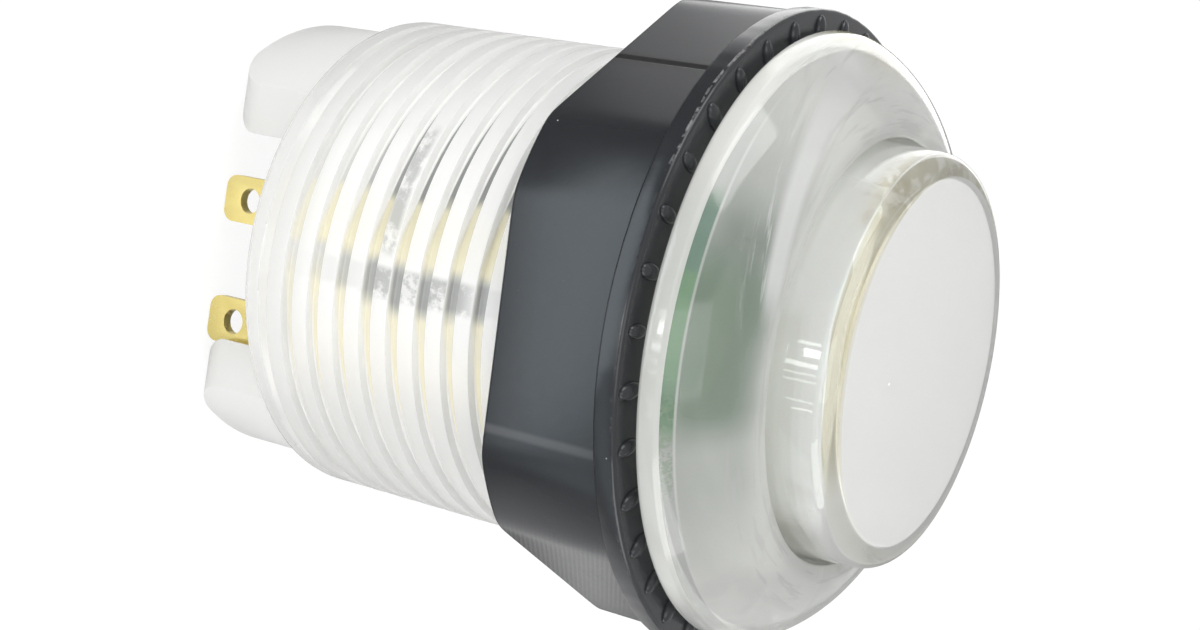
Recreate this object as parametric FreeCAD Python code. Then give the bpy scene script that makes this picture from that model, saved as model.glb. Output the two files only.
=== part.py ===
import FreeCAD, Part
import math
import os

# Arcade push button, panel mounted, with a lit clear plunger.
# Millimetres. +Z runs along the button's axis towards the finger. The origin is the
# centre of the bezel's underside, which is the plane of the panel it is mounted in.

# Bezel
bezel_diameter = 33.0
bezel_height = 4.35
rim_height = 1.0
rim_edge_radius = 0.25
rim_draft = 0.15
dome_bulge = 0.72
land_width = 0.8
lip_chamfer = 0.15

# Threaded body
thread_diameter = 28.1
thread_pitch = 1.8
thread_depth = 0.45
groove_width = 0.55
groove_flank = 0.12
thread_run_out = 2.9
end_band = 1.3
end_chamfer = 0.4
body_length = 26.8
body_bore = 24.0

# Guide web inside the body
web_depth = 4.8
web_thickness = 1.2
web_ring_bore = 19.0
spoke_width = 2.0
spoke_count = 4
hub_diameter = 11.2
guide_tube_diameter = 8.4
guide_tube_height = 2.2

# Clearances
cap_clearance = 0.3
guide_clearance = 0.1
nut_clearance = 0.2
pocket_clearance = 0.05
slot_clearance = 0.05
stop_gap = 0.05
carrier_clearance = 0.25

# How far a cut runs past the face that it opens
cut_margin = 1.0

# Plunger
press_travel = 3.0
cap_diameter = 22.2
cap_draft = 0.15
cap_projection = 3.1
cap_corner_radius = 1.1
cap_wall = 1.35
cap_face = 0.4
cap_skirt_depth = 0.6
diffuser_thickness = 0.8
plate_thickness = 1.0
plate_skirt_wall = 1.2
plate_skirt_height = 3.6
stem_diameter = 5.2
stem_below_hooks = 2.0
leg_width = 2.6
leg_thickness = 1.1
leg_gap = 0.3
hook_reach = 0.8
hook_height = 1.2
hook_nose = 0.4

# Return spring
spring_wire = 0.5
spring_turns = 5.5
spring_side_gap = 0.45

# Lock nut
nut_across_flats = 31.9
nut_corner_diameter = 34.5
nut_height = 8.5
nut_flange_diameter = 35.0
nut_flange_thickness = 1.25
nut_flange_edge = 0.25
nut_turn_deg = 3.0
nut_rib_count = 36
nut_rib_radius = 0.33
nut_rib_inset = 0.3
nut_seat_gap = 0.12
nut_bore_chamfer = 0.5

# Rear carrier and its two ears
carrier_plate_thickness = 2.6
carrier_wall = 1.15
carrier_flat_wall = 1.2
ear_shoulder = 1.2
ear_diameter = 26.2
ear_wall = 1.7
ear_width = 19.4
ear_length = 5.6
ear_corner_radius = 2.4
switch_rib = 1.0
switch_rib_spacing = 4.4
lug_height = 3.0

# Circuit board
board_diameter = 23.2
board_thickness = 1.2
board_gap = 0.2
board_centre_hole = 7.2
led_length = 3.4
led_width = 2.8
led_height = 1.9
led_offset = 7.0
resistor_length = 3.2
resistor_width = 1.6
resistor_height = 0.6
resistor_offset = 6.3

# Terminals
blade_width = 2.7
blade_thickness = 0.6
blade_offset = 8.75
blade_end_gap = 0.3
blade_corner_radius = 0.7
blade_hole_diameter = 1.45
blade_hole_inset = 1.9
blade_near_y = 2.1
blade_far_y = -5.0
solder_tab_width = 1.2
solder_tab_proud = 0.1

# Switch
switch_length = 12.8
switch_width = 6.4
switch_height = 6.5
switch_wall = 0.7
switch_split = 3.5
actuator_length = 2.4
actuator_width = 1.6
actuator_proud = 1.0
actuator_travel = 0.6
actuator_flange = 0.6
actuator_flange_thickness = 0.5
actuator_tip = 0.7
actuator_round = 0.4
leaf_width = 2.6
leaf_thickness = 0.2
leaf_overhang = 0.4
leaf_bead_radius = 0.2
leaf_pivot_gap = 0.1
leaf_contact_gap = 0.2
contact_diameter = 1.8
contact_height = 0.5
neck_width = 1.5

# Places that follow from the sizes above
bezel_radius = bezel_diameter / 2
thread_radius = thread_diameter / 2
bore_radius = body_bore / 2
cap_radius = cap_diameter / 2
opening_radius = cap_radius + cap_clearance
cap_top = bezel_height + cap_projection
cap_bottom = -cap_skirt_depth
pocket_radius = cap_radius - cap_wall
pocket_top = cap_top - cap_face
plate_top = pocket_top - diffuser_thickness
plate_under = plate_top - plate_thickness
insert_radius = pocket_radius - pocket_clearance
web_top = -web_depth
web_under = web_top - web_thickness
web_ring_radius = web_ring_bore / 2
hub_radius = hub_diameter / 2
guide_radius = stem_diameter / 2 + guide_clearance
hook_top = web_under - stop_gap
hook_bottom = hook_top - hook_height
leg_outer = web_ring_radius - leg_gap
board_top = web_under - board_gap
board_under = board_top - board_thickness
carrier_radius = bore_radius - carrier_clearance
flat_face_x = blade_offset - blade_thickness / 2
plate_bottom = -body_length - ear_shoulder
ear_end = plate_bottom - ear_length
blade_end = ear_end + blade_end_gap
hole_z = blade_end + blade_hole_inset
nut_front = -nut_seat_gap - nut_rib_radius
nut_back = nut_front - nut_height + nut_rib_radius
carrier_floor = plate_bottom + carrier_plate_thickness

# The switch hangs below the stem by the stroke that is left after its own travel.
stem_bottom = hook_bottom - stem_below_hooks
switch_top = stem_bottom - press_travel + actuator_travel - actuator_proud - stop_gap
switch_bottom = switch_top - switch_height
switch_joint = switch_bottom + switch_split
leaf_top = switch_top - switch_wall - actuator_flange_thickness - 2 * stop_gap - actuator_travel
switch_inner_x = switch_length / 2 - switch_wall
leaf_pivot_x = switch_inner_x - leaf_pivot_gap - leaf_overhang
leaf_contact_x = -switch_inner_x + leaf_contact_gap + leaf_overhang + contact_diameter / 2
leaf_under = leaf_top - leaf_thickness
leaf_pivot_z = leaf_top - leaf_thickness / 2
common_tongue_top = leaf_pivot_z - leaf_bead_radius - stop_gap
moving_contact_bottom = leaf_under - contact_height
leaf_angle = math.asin(actuator_travel / leaf_pivot_x)
contact_drop = (leaf_pivot_x - leaf_contact_x + contact_diameter / 2) * math.sin(leaf_angle)
fixed_contact_top = moving_contact_bottom - contact_drop - stop_gap
contact_tongue_top = fixed_contact_top - contact_height
neck_low_y = leaf_width / 2 - neck_width


def vec(x, y, z):
    return FreeCAD.Vector(x, y, z)


def box(x0, x1, y0, y1, z0, z1):
    return Part.makeBox(x1 - x0, y1 - y0, z1 - z0, vec(x0, y0, z0))


def disc(radius, z0, z1):
    return Part.makeCylinder(radius, z1 - z0, vec(0, 0, z0))


def ring(outer, inner, z0, z1):
    return disc(outer, z0, z1).cut(disc(inner, z0 - cut_margin, z1 + cut_margin))


def turned(shape, degrees):
    copy = shape.copy()
    copy.rotate(vec(0, 0, 0), vec(0, 0, 1), degrees)
    return copy


def spun(edges):
    """Solid of revolution about Z from a closed outline of edges in the XZ plane."""
    face = Part.Face(Part.Wire(edges))
    solid = face.revolve(vec(0, 0, 0), vec(0, 0, 1), 360)
    return Part.Solid(solid) if solid.ShapeType != "Solid" else solid


def line(a, b):
    return Part.LineSegment(vec(a[0], 0, a[1]), vec(b[0], 0, b[1])).toShape()


def arc(a, middle, b):
    ends = [vec(p[0], 0, p[1]) for p in (a, middle, b)]
    return Part.Arc(ends[0], ends[1], ends[2]).toShape()


def path(points):
    return [line(a, b) for a, b in zip(points, points[1:])]


def round_corner(centre, radius, start_deg):
    """Quarter arc about a centre, turning anticlockwise from its start angle."""
    angles = [math.radians(start_deg + step) for step in (0, 45, 90)]
    return [(centre[0] + radius * math.cos(a), centre[1] + radius * math.sin(a)) for a in angles]


def dome_points():
    """Ends and middle of the bezel's domed front, from the rim to the flat land."""
    low = (bezel_radius - rim_draft, rim_height)
    high = (opening_radius + land_width, bezel_height)
    run = (high[0] - low[0], high[1] - low[1])
    chord = math.hypot(run[0], run[1])
    middle = ((low[0] + high[0]) / 2 + dome_bulge * run[1] / chord,
              (low[1] + high[1]) / 2 - dome_bulge * run[0] / chord)
    return low, middle, high


def groove_places():
    """Height of each thread groove's middle, from the front to the rear."""
    usable = body_length - thread_run_out - end_band
    count = int(usable / thread_pitch) + 1
    return [-thread_run_out - step * thread_pitch for step in range(count)]


def threaded_side():
    """Outline of the body's outside, from the bezel's underside to the rear end."""
    root = thread_radius - thread_depth
    half = groove_width / 2
    points = [(thread_radius, 0)]
    for z in groove_places():
        points.append((thread_radius, z + half + groove_flank))
        points.append((root, z + half))
        points.append((root, z - half))
        points.append((thread_radius, z - half - groove_flank))
    points.append((thread_radius, -body_length + end_chamfer))
    points.append((thread_radius - end_chamfer, -body_length))
    return points


def housing_shell():
    low, middle, high = dome_points()
    edge = rim_edge_radius
    under = round_corner((bezel_radius - edge, edge), edge, 270)
    inside = [(bore_radius, -body_length), (bore_radius, web_under), (web_ring_radius, web_under),
              (web_ring_radius, web_top), (opening_radius, web_top),
              (opening_radius, bezel_height - lip_chamfer),
              (opening_radius + lip_chamfer, bezel_height), high]
    outside = threaded_side()
    edges = [arc(under[0], under[1], under[2]), line(under[2], low), arc(low, middle, high)]
    edges += path(list(reversed(inside)))
    edges += [line(inside[0], outside[-1])]
    edges += path(list(reversed(outside)))
    edges += [line(outside[0], under[0])]
    return spun(edges)


def guide_web():
    """Hub, guide tube and spokes that hold the stem and the spring."""
    hub = disc(hub_radius, web_under, web_top)
    tube = disc(guide_tube_diameter / 2, web_under, web_top + guide_tube_height)
    web = hub.fuse(tube)
    for index in range(spoke_count):
        spoke = box(0, web_ring_radius + land_width, -spoke_width / 2, spoke_width / 2,
                    web_under, web_top)
        web = web.fuse(turned(spoke, 360 / spoke_count * (index + 0.5)))
    bore = disc(guide_radius, web_under - cut_margin, web_top + guide_tube_height + cut_margin)
    return web.cut(bore)


def make_housing():
    return housing_shell().fuse(guide_web()).removeSplitter()


def make_cap():
    top_radius = cap_radius - cap_draft
    corner = round_corner((top_radius - cap_corner_radius, cap_top - cap_corner_radius),
                          cap_corner_radius, 0)
    edges = [line((pocket_radius, cap_bottom), (cap_radius, cap_bottom)),
             line((cap_radius, cap_bottom), (cap_radius, bezel_height)),
             line((cap_radius, bezel_height), corner[0]),
             arc(corner[0], corner[1], corner[2])]
    edges += path([corner[2], (0, cap_top), (0, pocket_top), (pocket_radius, pocket_top),
                   (pocket_radius, cap_bottom)])
    return spun(edges)


def make_diffuser():
    return disc(insert_radius, plate_top, pocket_top)


def plunger_leg(side):
    """Snap leg that passes through the web and hooks under its ring."""
    inner = leg_outer - leg_thickness
    leg = box(-leg_width / 2, leg_width / 2, inner, leg_outer, hook_bottom, plate_under)
    hook = box(-leg_width / 2, leg_width / 2, inner, leg_outer + hook_reach, hook_bottom, hook_top)
    nose = hook_bottom + hook_nose
    low = hook_bottom - cut_margin
    clear = leg_outer + hook_reach + cut_margin
    outline = [(leg_outer, low), (leg_outer, hook_bottom), (leg_outer + hook_reach, nose),
               (clear, nose), (clear, low), (leg_outer, low)]
    ramp = Part.Face(Part.makePolygon([vec(-leg_width, y, z) for y, z in outline]))
    hook = hook.cut(ramp.extrude(vec(2 * leg_width, 0, 0)))
    return turned(leg.fuse(hook), 0 if side > 0 else 180)


def make_plunger():
    plate = disc(insert_radius, plate_under, plate_top)
    skirt = ring(insert_radius, insert_radius - plate_skirt_wall,
                 plate_under - plate_skirt_height, plate_under)
    stem = disc(stem_diameter / 2, stem_bottom, plate_under)
    body = plate.fuse(skirt).fuse(stem)
    for side in (1, -1):
        body = body.fuse(plunger_leg(side))
    return body.removeSplitter()


def make_return_spring():
    """Coil between the web's hub and the plunger's plate, round the guide tube."""
    mean = guide_tube_diameter / 2 + spring_side_gap + spring_wire / 2
    low = web_top + spring_wire / 2
    high = plate_under - spring_wire / 2
    helix = Part.makeHelix((high - low) / spring_turns, high - low, mean)
    helix.translate(vec(0, 0, low))
    circle = Part.Circle(vec(mean, 0, low), vec(0, 1, 0), spring_wire / 2).toShape()
    return Part.Wire(helix.Edges).makePipeShell([Part.Wire([circle])], True, True)


def hexagon(across_flats, z0, z1):
    corner = across_flats / math.sqrt(3)
    points = [vec(corner * math.cos(math.radians(60 * k + 30)),
                  corner * math.sin(math.radians(60 * k + 30)), z0) for k in range(6)]
    return Part.Face(Part.makePolygon(points + points[:1])).extrude(vec(0, 0, z1 - z0))


def nut_rib(index):
    """One rounded radial rib on the nut's front face, which bites into the panel."""
    start = nut_bore_radius() + nut_bore_chamfer
    length = nut_flange_diameter / 2 - nut_rib_inset - start
    rib = Part.makeCylinder(nut_rib_radius, length, vec(start, 0, nut_front), vec(1, 0, 0))
    return turned(rib, 360 / nut_rib_count * index)


def nut_bore_radius():
    return thread_radius + nut_clearance


def make_lock_nut():
    bore = nut_bore_radius()
    flange_back = nut_front - nut_flange_thickness
    body = hexagon(nut_across_flats, nut_back, flange_back + nut_flange_edge)
    body = turned(body, nut_turn_deg).common(disc(nut_corner_diameter / 2, nut_back, nut_front))
    radius = nut_flange_diameter / 2
    flange = spun(path([(bore, nut_front), (bore, flange_back), (radius - nut_flange_edge, flange_back),
                        (radius, flange_back + nut_flange_edge), (radius, nut_front - nut_flange_edge),
                        (radius - nut_flange_edge, nut_front), (bore, nut_front)]))
    nut = body.fuse(flange)
    for index in range(nut_rib_count):
        nut = nut.fuse(nut_rib(index))
    hole = disc(bore, nut_back - cut_margin, nut_front + cut_margin)
    mouth = Part.makeCone(bore + nut_bore_chamfer, bore, nut_bore_chamfer, vec(0, 0, nut_back))
    return nut.cut(hole).cut(mouth).removeSplitter()


def ear(side):
    """Curved wall behind the body that shields the terminals."""
    outer = ear_diameter / 2
    curved = ring(outer, outer - ear_wall, ear_end, plate_bottom)
    shoulder = ring(outer, carrier_radius - carrier_wall, plate_bottom, -body_length)
    half = ear_width / 2
    r = ear_corner_radius
    low = ear_end
    left = round_corner((-half + r, low + r), r, 180)
    right = round_corner((half - r, low + r), r, 270)
    outline = [arc(left[0], left[1], left[2]), line(left[2], right[0]),
               arc(right[0], right[1], right[2]), line(right[2], (half, 0)),
               line((half, 0), (-half, 0)), line((-half, 0), left[0])]
    keep = Part.Face(Part.Wire(outline)).extrude(vec(0, ear_diameter, 0))
    return turned(curved.fuse(shoulder).common(keep), 0 if side > 0 else 180)


def blade_places():
    """Centre of each terminal blade in plan: two for the lamps, two for the switch."""
    return {"led_positive": (-blade_offset, blade_near_y),
            "led_negative": (-blade_offset, blade_far_y),
            "switch_common": (blade_offset, -blade_near_y),
            "switch_contact": (blade_offset, -blade_far_y)}


def blade_slot(place):
    half_t = blade_thickness / 2 + slot_clearance
    half_w = blade_width / 2 + slot_clearance
    x, y = place
    return box(x - half_t, x + half_t, y - half_w, y + half_w,
               plate_bottom - cut_margin, carrier_floor + cut_margin)


def carrier_walls():
    """Two curved walls up to the board, joined by a flat wall behind each pair of blades."""
    tube = ring(carrier_radius, carrier_radius - carrier_wall, carrier_floor, board_under)
    keep = box(-flat_face_x, flat_face_x, -carrier_radius, carrier_radius, carrier_floor, board_under)
    walls = tube.common(keep)
    inside = disc(carrier_radius - carrier_wall / 2, carrier_floor, board_under)
    inner_x = flat_face_x - carrier_flat_wall
    tall = box(-flat_face_x, -inner_x, -carrier_radius, carrier_radius, carrier_floor, board_under)
    short = box(inner_x, flat_face_x, -carrier_radius, carrier_radius,
                carrier_floor, switch_bottom - stop_gap)
    return walls.fuse(tall.common(inside)).fuse(short.common(inside))


def switch_seat():
    """Two ribs under the switch and a lug at each of its ends."""
    inner_x = flat_face_x - carrier_flat_wall / 2
    seat = []
    for side in (1, -1):
        y = side * switch_rib_spacing / 2
        seat.append(box(-inner_x, inner_x, y - switch_rib / 2, y + switch_rib / 2,
                        carrier_floor, switch_bottom))
    lug_start = switch_length / 2 + slot_clearance
    lug_half = switch_rib_spacing / 2 + switch_rib / 2
    seat.append(box(-inner_x, -lug_start, -lug_half, lug_half,
                    carrier_floor, switch_bottom + lug_height))
    return seat


def make_rear_carrier():
    body = disc(carrier_radius, plate_bottom, carrier_floor)
    body = body.fuse(carrier_walls())
    for piece in switch_seat():
        body = body.fuse(piece)
    for side in (1, -1):
        body = body.fuse(ear(side))
    for place in blade_places().values():
        body = body.cut(blade_slot(place))
    return body.removeSplitter()


def make_circuit_board():
    board = disc(board_diameter / 2, board_under, board_top)
    low = board_under - cut_margin
    high = board_top + cut_margin
    board = board.cut(disc(board_centre_hole / 2, low, high))
    inner = leg_outer - leg_thickness - leg_gap
    outer = leg_outer + hook_reach + leg_gap
    half = leg_width / 2 + leg_gap
    for side in (1, -1):
        slot = box(-half, half, inner, outer, low, high)
        board = board.cut(turned(slot, 0 if side > 0 else 180))
    for name in ("led_positive", "led_negative"):
        x, y = blade_places()[name]
        half_t = blade_thickness / 2 + slot_clearance
        half_w = solder_tab_width / 2 + slot_clearance
        board = board.cut(box(x - half_t, x + half_t, y - half_w, y + half_w, low, high))
    return board


def make_led(side):
    """Flat lamp on the board, which shines forward through a window of the web."""
    lamp = box(-led_width / 2, led_width / 2, -led_length / 2, led_length / 2,
               board_top, board_top + led_height)
    lamp.translate(vec(side * led_offset, 0, 0))
    return lamp


def make_resistor(side):
    """Small resistor soldered to the board's rear face."""
    chip = box(-resistor_width / 2, resistor_width / 2, -resistor_length / 2, resistor_length / 2,
               board_under - resistor_height, board_under)
    chip.translate(vec(side * resistor_offset, 0, 0))
    return chip


def blade(place, top):
    """Flat brass blade with a rounded, drilled end, in the plane of its strip."""
    x, y = place
    half = blade_width / 2
    r = blade_corner_radius
    left = round_corner((y - half + r, blade_end + r), r, 180)
    right = round_corner((y + half - r, blade_end + r), r, 270)
    outline = [arc(left[0], left[1], left[2]), line(left[2], right[0]),
               arc(right[0], right[1], right[2]), line(right[2], (y + half, top)),
               line((y + half, top), (y - half, top)), line((y - half, top), left[0])]
    strip = Part.Face(Part.Wire(outline)).extrude(vec(0, blade_thickness, 0))
    strip.rotate(vec(0, 0, 0), vec(0, 0, 1), 90)
    strip.translate(vec(x + blade_thickness / 2, 0, 0))
    hole = Part.makeCylinder(blade_hole_diameter / 2, blade_thickness + 2 * cut_margin,
                             vec(x - blade_thickness / 2 - cut_margin, y, hole_z), vec(1, 0, 0))
    return strip.cut(hole)


def make_led_terminal(name):
    x, y = blade_places()[name]
    tab = box(x - blade_thickness / 2, x + blade_thickness / 2, y - solder_tab_width / 2,
              y + solder_tab_width / 2, board_under - blade_width, board_top + solder_tab_proud)
    return blade((x, y), board_under).fuse(tab).removeSplitter()


def tongue_low_y():
    """How far the common tongue reaches to the side inside the switch."""
    return switch_width / 2 - switch_wall - slot_clearance


def make_switch_terminal_common():
    """Blade with a tongue that carries the moving leaf's fixed end."""
    x, y = blade_places()["switch_common"]
    top = common_tongue_top
    low = top - blade_thickness
    arm = box(switch_length / 2, x + blade_thickness / 2, y - blade_width / 2, y + blade_width / 2,
              low, top)
    tongue = box(leaf_pivot_x - leaf_bead_radius, switch_length / 2,
                 -tongue_low_y(), leaf_width / 2, low, top)
    return blade((x, y), top).fuse(arm).fuse(tongue).removeSplitter()


def make_switch_terminal_contact():
    """Blade with a cranked tongue that runs into the switch under the leaf."""
    x, y = blade_places()["switch_contact"]
    outer = x + blade_thickness / 2
    low = contact_tongue_top - blade_thickness
    arm = box(switch_length / 2 + stop_gap, outer, neck_low_y, y + blade_width / 2,
              low, contact_tongue_top)
    neck = box(0, outer, neck_low_y, leaf_width / 2, low, contact_tongue_top)
    end_x = leaf_contact_x - contact_diameter / 2 - stop_gap
    tongue = box(end_x, switch_inner_x - slot_clearance,
                 -leaf_width / 2, leaf_width / 2, low, contact_tongue_top)
    return blade((x, y), contact_tongue_top).fuse(arm).fuse(neck).fuse(tongue).removeSplitter()


def switch_box(z0, z1):
    return box(-switch_length / 2, switch_length / 2, -switch_width / 2, switch_width / 2, z0, z1)


def switch_inside(z0, z1):
    y = switch_width / 2 - switch_wall
    return box(-switch_inner_x, switch_inner_x, -y, y, z0, z1)


def tongue_slot(y0, y1, low, high):
    """Cut for a terminal's tongue through the switch's wall on the terminal side."""
    return box(switch_inner_x - cut_margin, switch_length / 2 + cut_margin,
               y0 - slot_clearance, y1 + slot_clearance, low, high + slot_clearance)


def make_switch_case():
    case = switch_box(switch_bottom, switch_joint)
    case = case.cut(switch_inside(switch_bottom + switch_wall, switch_joint + cut_margin))
    low = contact_tongue_top - blade_thickness - slot_clearance
    return case.cut(tongue_slot(neck_low_y, leaf_width / 2, low, contact_tongue_top))


def make_switch_cover():
    cover = switch_box(switch_joint, switch_top)
    cover = cover.cut(switch_inside(switch_joint - cut_margin, switch_top - switch_wall))
    x = actuator_length / 2 + guide_clearance
    y = actuator_width / 2 + guide_clearance
    cover = cover.cut(box(-x, x, -y, y, switch_joint, switch_top + cut_margin))
    return cover.cut(tongue_slot(-tongue_low_y(), leaf_width / 2,
                                 switch_joint - cut_margin, common_tongue_top))


def make_switch_actuator():
    """Small push pin of the switch, with a flange that keeps it inside the cover."""
    x = actuator_length / 2
    y = actuator_width / 2
    flange_top = switch_top - switch_wall - stop_gap
    flange_under = flange_top - actuator_flange_thickness
    pin = box(-x, x, -y, y, flange_under, switch_top + actuator_proud)
    edges = [edge for edge in pin.Edges
             if abs(edge.CenterOfMass.z - switch_top - actuator_proud) < slot_clearance]
    pin = pin.makeFillet(actuator_round, edges)
    flange = box(-x - actuator_flange, x + actuator_flange, -y, y, flange_under, flange_top)
    tip = box(-actuator_tip / 2, actuator_tip / 2, -y, y,
              leaf_top + 2 * stop_gap, flange_under)
    return pin.fuse(flange).fuse(tip).removeSplitter()


def make_contact_leaf():
    """Moving leaf with a rolled bead across it, which it turns about on its tongue."""
    end = leaf_contact_x - contact_diameter / 2 - leaf_overhang
    leaf = box(end, leaf_pivot_x + leaf_overhang, -leaf_width / 2, leaf_width / 2,
               leaf_under, leaf_top)
    bead = Part.makeCylinder(leaf_bead_radius, leaf_width,
                             vec(leaf_pivot_x, -leaf_width / 2, leaf_pivot_z), vec(0, 1, 0))
    return leaf.fuse(bead).removeSplitter()


def make_contact(top):
    return Part.makeCylinder(contact_diameter / 2, contact_height,
                             vec(leaf_contact_x, 0, top - contact_height))


def all_parts():
    return {"housing": make_housing(),
            "lock_nut": make_lock_nut(),
            "cap": make_cap(),
            "diffuser": make_diffuser(),
            "plunger": make_plunger(),
            "return_spring": make_return_spring(),
            "rear_carrier": make_rear_carrier(),
            "circuit_board": make_circuit_board(),
            "led_left": make_led(-1),
            "led_right": make_led(1),
            "resistor_left": make_resistor(-1),
            "resistor_right": make_resistor(1),
            "led_terminal_positive": make_led_terminal("led_positive"),
            "led_terminal_negative": make_led_terminal("led_negative"),
            "switch_terminal_common": make_switch_terminal_common(),
            "switch_terminal_contact": make_switch_terminal_contact(),
            "switch_case": make_switch_case(),
            "switch_cover": make_switch_cover(),
            "switch_actuator": make_switch_actuator(),
            "contact_leaf": make_contact_leaf(),
            "moving_contact": make_contact(leaf_under),
            "fixed_contact": make_contact(fixed_contact_top)}


os.makedirs("parts", exist_ok=True)
for name, shape in all_parts().items():
    shape.exportStep("parts/" + name + ".step")
    print(name, len(shape.Solids), shape.isValid(), round(shape.Volume, 2))
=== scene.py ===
import math

import bmesh
import bpy
from mathutils import Matrix, Vector


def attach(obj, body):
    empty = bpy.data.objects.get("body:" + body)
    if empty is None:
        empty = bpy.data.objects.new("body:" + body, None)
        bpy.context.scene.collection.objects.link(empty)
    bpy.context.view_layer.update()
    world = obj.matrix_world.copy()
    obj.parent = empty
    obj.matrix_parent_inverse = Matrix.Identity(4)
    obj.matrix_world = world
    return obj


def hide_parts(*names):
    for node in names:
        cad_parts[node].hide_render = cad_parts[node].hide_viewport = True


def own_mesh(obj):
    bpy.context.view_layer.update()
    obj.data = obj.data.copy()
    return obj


# Arcade push button: clear bezel and threaded body, black lock nut, lit clear cap.
# Sizes of pieces are in millimetres, and meshes are made in metres in the frame's own axes.
# Places and sizes in finishes, lamps and the camera are in metres, and turns in degrees.
# +Z runs towards the finger, the bezel's underside is at z = 0, the two ears are at
# +Y and -Y and the lamp terminals on the -X side.

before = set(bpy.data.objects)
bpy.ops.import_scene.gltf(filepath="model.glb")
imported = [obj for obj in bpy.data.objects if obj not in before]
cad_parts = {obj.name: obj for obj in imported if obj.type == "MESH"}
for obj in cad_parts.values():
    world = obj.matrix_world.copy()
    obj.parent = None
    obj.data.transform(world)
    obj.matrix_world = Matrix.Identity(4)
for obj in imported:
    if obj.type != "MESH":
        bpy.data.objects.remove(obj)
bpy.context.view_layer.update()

MM = 0.001
CREASE = 32
# Turned outlines end this far from the axis, and points nearer than the weld become one
AXIS = 0.0001
WELD = 0.0004

# Bezel and threaded body
RIM_RADIUS = 16.5
RIM_INSIDE = 15.5
RIM_TOP = (16.35, 1.0)
DOME_MIDDLE = (14.71, 3.095)
DOME_TOP = (12.2, 4.35)
DOME_ROWS = 22
OPENING = 11.4
BODY_BORE = 12.0
CREST = 14.05
ROOT = 13.6
PITCH = 1.8
THREAD_FIRST = -1.3
THREAD_LAST = -25.9
THREAD_START = -2.9
BODY_END = -26.8
WEB_TOP = -4.8
WEB_UNDER = -6.0
WEB_RING = 9.5
HUB = 5.6
GUIDE_TUBE = 4.2
GUIDE_TUBE_TOP = -2.6
GUIDE_BORE = 2.7
SPOKE_FIRST = 4.6
SPOKE_LAST = 10.4
SPOKE_HALF_WIDTH = 1.0

# Where the rim's painted milky glow is wider: middle, half-width and fade in degrees, and how far the
# dome's rows slide inwards, as a share of the arc, over this share of the rows
MILKY_TURN = 66.0
MILKY_HALF = 42.0
MILKY_FADE = 30.0
MILKY_SLIDE = 0.055
MILKY_ROWS = 0.3

# Plunger and its spring
CAP_RADIUS = 11.1
CAP_FACE_RADIUS = 10.95
CAP_BORE = 9.75
CAP_SKIRT = -0.6
CAP_SHOULDER = 4.35
CAP_CORNER = 1.1
CAP_TOP = 7.45
CAP_FACE = 0.4
DISC_RADIUS = 9.70
DISC_TOP = CAP_TOP - 0.415
DISC_UNDER = CAP_TOP - 1.185
SPRING_SEAT = 5.25
SPRING_TURNS = 7.5
SPRING_MEAN = 4.9
WIRE = 0.25
FLAT_LAP = 0.85
FLAT_PITCH = 0.9 * 2 * WIRE

# Lock nut
NUT_FRONT = -0.45
NUT_BACK = -8.62
NUT_FLANGE = 17.5
NUT_FLANGE_BACK = -1.7
NUT_FLAT = 15.95
NUT_CORNER = 17.25
NUT_CORNER_SHARPNESS = 9.0
NUT_BORE = 14.25
NUT_THREAD_DEPTH = 0.4
NUT_THREAD_START = -2.0
NUT_TURN = 3.0
CORNER_HIGHLIGHT_TURN = -20.8
PARTING_TURN = 124.0
NUT_STRIPE_STEP = 0.24

# Pegs on the nut's front face
PEG_COUNT = 36
PEG_RING = 16.35
PEG_LENGTH = 1.75
PEG_WIDTH = 0.9
PEG_RISE = 0.64
PEG_START = 98.6

# Small pieces
BLADE_CORNER = 0.8
BOARD_TOP = -6.2
LAMP_TERMINALS = ((-8.75, 2.1), (-8.75, -5.0))
PAD_RADIUS = 1.15
LAMP_OFFSET = 7.0
LAMP_TOP = -4.3
LAMP_WINDOW = 1.1
CHIP_BODY_HALF = 1.15

ACRYLIC_IOR = 1.49
FLOOR = -33.6
FLOOR_REACH = 3000
SKY_STRENGTH = 0.72

# Directions of the photograph in the frame's axes, its right and towards the camera
PICTURE_RIGHT = (0.5188, 0.1568, 0.8404)
PICTURE_BACK = (-0.8549, 0.0952, 0.5100)
CAMERA_PLACE = (-0.094627, 0.009493, 0.044137)
CAMERA_LENS = 58.3

# Slats of light of a window that the photo shows in the cap: turn and fall in degrees,
# width and height in metres, power in watts
WINDOW_SLATS = ((175.5, -12.0, (0.003, 0.020), 0.0012), (180.0, -10.0, (0.0075, 0.022), 0.0075),
                (186.0, -12.0, (0.004, 0.030), 0.0028), (190.5, -12.0, (0.002, 0.030), 0.0008),
                (194.0, -12.0, (0.002, 0.028), 0.0007), (204.0, -12.0, (0.002, 0.024), 0.0006),
                (208.0, -12.0, (0.002, 0.018), 0.0006))
SLAT_DISTANCE = 0.11
CAP_MIDDLE = 0.006


# Shapes


def held(value):
    """A number kept between 0 and 1."""
    return min(1.0, max(0.0, value))


def eased(share):
    """Share from 0 to 1 that starts and ends gently."""
    return share * share * (3 - 2 * share)


def on_circle(r, angle, z):
    return r * math.cos(angle), r * math.sin(angle), z


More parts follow.
